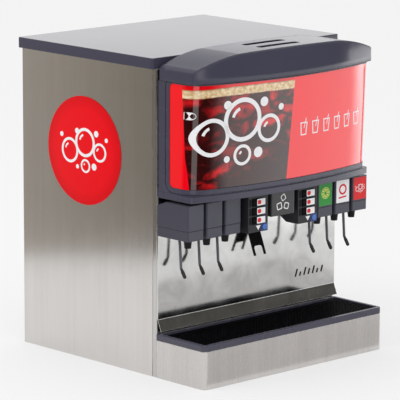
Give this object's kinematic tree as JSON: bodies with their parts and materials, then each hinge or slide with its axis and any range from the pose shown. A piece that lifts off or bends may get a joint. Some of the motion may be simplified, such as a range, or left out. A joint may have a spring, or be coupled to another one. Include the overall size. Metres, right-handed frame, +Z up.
{
  "type": "fountain soda dispenser",
  "caption": "Countertop ice and drink dispenser with lit bowed display, push-lever valves, flavour keypads, ice chute, drip tray and lift-off bin lid.",
  "frame": {"origin": "middle of the machine's box, on the counter", "axes": "+Z up, -Y towards the user, +X to the user's right"},
  "size_m": [0.791, 0.8399, 0.9915],
  "materials": {
    "brushed_steel": "vertical brushed grain, satin",
    "galvanised_steel": "zinc-coated sheet, dull",
    "polished_steel": "fine brushed, near mirror",
    "bin_plastic": "moulded food-grade plastic, satin",
    "foam": "rigid foam",
    "cast_aluminium": "cast, slightly rough",
    "steel_tube": "drawn stainless steel",
    "blue_grey_plastic": "moulded plastic with a fine texture, satin",
    "display_print": "back-lit printed acrylic, glossy",
    "lamp_glass": "frosted tube",
    "white_plastic": "moulded, satin",
    "black_plastic": "moulded, semi-gloss",
    "valve_grey": "moulded plastic, fine texture",
    "valve_inner": "moulded plastic and painted housings",
    "badge_red": "domed glossy sticker",
    "key_print": "printed membrane key, glossy",
    "key_blue": "moulded button, glossy"
  },
  "bodies": {
    "cabinet": {"base_pan": "galvanised_steel", "left_side_panel": "brushed_steel", "right_side_panel": "brushed_steel", "back_panel": "brushed_steel", "front_panel": "brushed_steel", "splash_plate": "polished_steel", "bin_liner": "bin_plastic", "bin_foam": "foam", "cold_plate": "cast_aluminium", "beverage_lines": "steel_tube", "merch_frame": "blue_grey_plastic", "display_panel": "display_print", "merch_cap": "blue_grey_plastic", "light_box": "galvanised_steel", "lamp_tubes": "lamp_glass", "lamp_holders": "white_plastic", "tray_skirt": "brushed_steel", "tray_rim": "blue_grey_plastic", "drip_tub": "black_plastic", "drain_spigot": "black_plastic", "ice_chute": "bin_plastic", "gate_solenoid": "galvanised_steel", "chute_cover": "valve_grey", "ice_switch": "black_plastic", "shaft_bush": "white_plastic", "agitator_motor": "valve_inner", "motor_bracket": "galvanised_steel", "control_box": "valve_inner", "cable_gland": "black_plastic", "round_badge": "badge_red", "screws": "steel_tube", "valve_covers": "valve_grey", "valve_bases": "valve_grey", "valve_cores": "valve_inner", "mounting_blocks": "valve_inner", "nozzles": "black_plastic", "hinge_pins": "steel_tube", "keypad_housings": "valve_grey", "keypad_faces": "valve_grey"},
    "lid": {"lid": "blue_grey_plastic", "lid_liner": "blue_grey_plastic"},
    "cup_rest": {"cup_rest": "black_plastic"},
    "agitator": {"agitator": "bin_plastic"},
    "ice_gate": {"ice_gate": "bin_plastic"},
    "solenoid_plunger": {"solenoid_plunger": "steel_tube"},
    "ice_lever": {"ice_lever": "black_plastic"},
    "valve_lever_1": {"valve_lever_1": "black_plastic"},
    "valve_lever_2": {"valve_lever_2": "black_plastic"},
    "valve_lever_3": {"valve_lever_3": "black_plastic"},
    "valve_lever_4": {"valve_lever_4": "black_plastic"},
    "valve_lever_5": {"valve_lever_5": "black_plastic"},
    "valve_lever_6": {"valve_lever_6": "black_plastic"},
    "left_key_1": {"left_key_1": "key_print"},
    "left_key_2": {"left_key_2": "key_print"},
    "left_key_3": {"left_key_3": "key_print"},
    "right_key_1": {"right_key_1": "key_print"},
    "right_key_2": {"right_key_2": "key_print"},
    "right_key_3": {"right_key_3": "key_print"},
    "left_round_key": {"left_round_key": "key_blue"},
    "right_round_key": {"right_round_key": "key_blue"}
  },
  "joints": [
    {"name": "lid_lift", "type": "slide", "parent": "cabinet", "child": "lid", "axis": [0, 0, 1], "range_m": [0, 0.25]},
    {"name": "cup_rest_lift", "type": "slide", "parent": "cabinet", "child": "cup_rest", "axis": [0, 0, 1], "range_m": [0, 0.12]},
    {"name": "agitator_spin", "type": "hinge", "parent": "cabinet", "child": "agitator", "pos_m": [-0.11, -0.1255, 0.64], "axis": [0, 1, 0], "continuous": true},
    {"name": "gate_swing", "type": "hinge", "parent": "cabinet", "child": "ice_gate", "pos_m": [0, -0.2185, 0.727], "axis": [-1, 0, 0], "range_deg": [0, 25], "stiffness_Nm_per_rad": 0.3, "springref_deg": -17.19},
    {"name": "plunger_slide", "type": "slide", "parent": "cabinet", "child": "solenoid_plunger", "axis": [0, 0, 1], "range_m": [0, 0.0132]},
    {"name": "ice_lever_swing", "type": "hinge", "parent": "cabinet", "child": "ice_lever", "pos_m": [0, -0.2215, 0.421], "axis": [1, 0, 0], "range_deg": [0, 16], "stiffness_Nm_per_rad": 0.5, "springref_deg": -11.46},
    {"name": "valve_lever_1_swing", "type": "hinge", "parent": "cabinet", "child": "valve_lever_1", "pos_m": [-0.35, -0.2685, 0.449], "axis": [1, 0, 0], "range_deg": [0, 13], "stiffness_Nm_per_rad": 0.4, "springref_deg": -8.59},
    {"name": "valve_lever_2_swing", "type": "hinge", "parent": "cabinet", "child": "valve_lever_2", "pos_m": [-0.2735, -0.2685, 0.449], "axis": [1, 0, 0], "range_deg": [0, 13], "stiffness_Nm_per_rad": 0.4, "springref_deg": -8.59},
    {"name": "valve_lever_3_swing", "type": "hinge", "parent": "cabinet", "child": "valve_lever_3", "pos_m": [-0.197, -0.2685, 0.449], "axis": [1, 0, 0], "range_deg": [0, 13], "stiffness_Nm_per_rad": 0.4, "springref_deg": -8.59},
    {"name": "valve_lever_4_swing", "type": "hinge", "parent": "cabinet", "child": "valve_lever_4", "pos_m": [0.197, -0.2685, 0.449], "axis": [1, 0, 0], "range_deg": [0, 13], "stiffness_Nm_per_rad": 0.4, "springref_deg": -8.59},
    {"name": "valve_lever_5_swing", "type": "hinge", "parent": "cabinet", "child": "valve_lever_5", "pos_m": [0.2735, -0.2685, 0.449], "axis": [1, 0, 0], "range_deg": [0, 13], "stiffness_Nm_per_rad": 0.4, "springref_deg": -8.59},
    {"name": "valve_lever_6_swing", "type": "hinge", "parent": "cabinet", "child": "valve_lever_6", "pos_m": [0.35, -0.2685, 0.449], "axis": [1, 0, 0], "range_deg": [0, 13], "stiffness_Nm_per_rad": 0.4, "springref_deg": -8.59},
    {"name": "left_key_1_press", "type": "slide", "parent": "cabinet", "child": "left_key_1", "axis": [0, 1, 0], "range_m": [0, 0.002], "stiffness_N_per_m": 600, "springref_m": -0.001},
    {"name": "left_key_2_press", "type": "slide", "parent": "cabinet", "child": "left_key_2", "axis": [0, 1, 0], "range_m": [0, 0.002], "stiffness_N_per_m": 600, "springref_m": -0.001},
    {"name": "left_key_3_press", "type": "slide", "parent": "cabinet", "child": "left_key_3", "axis": [0, 1, 0], "range_m": [0, 0.002], "stiffness_N_per_m": 600, "springref_m": -0.001},
    {"name": "right_key_1_press", "type": "slide", "parent": "cabinet", "child": "right_key_1", "axis": [0, 1, 0], "range_m": [0, 0.002], "stiffness_N_per_m": 600, "springref_m": -0.001},
    {"name": "right_key_2_press", "type": "slide", "parent": "cabinet", "child": "right_key_2", "axis": [0, 1, 0], "range_m": [0, 0.002], "stiffness_N_per_m": 600, "springref_m": -0.001},
    {"name": "right_key_3_press", "type": "slide", "parent": "cabinet", "child": "right_key_3", "axis": [0, 1, 0], "range_m": [0, 0.002], "stiffness_N_per_m": 600, "springref_m": -0.001},
    {"name": "left_round_key_press", "type": "slide", "parent": "cabinet", "child": "left_round_key", "axis": [0, 1, 0], "range_m": [0, 0.002], "stiffness_N_per_m": 600, "springref_m": -0.001},
    {"name": "right_round_key_press", "type": "slide", "parent": "cabinet", "child": "right_round_key", "axis": [0, 1, 0], "range_m": [0, 0.002], "stiffness_N_per_m": 600, "springref_m": -0.001}
  ],
  "couplings": [
    {"joint": "plunger_slide", "follows": "gate_swing", "m_per_rad": 0.03}
  ]
}
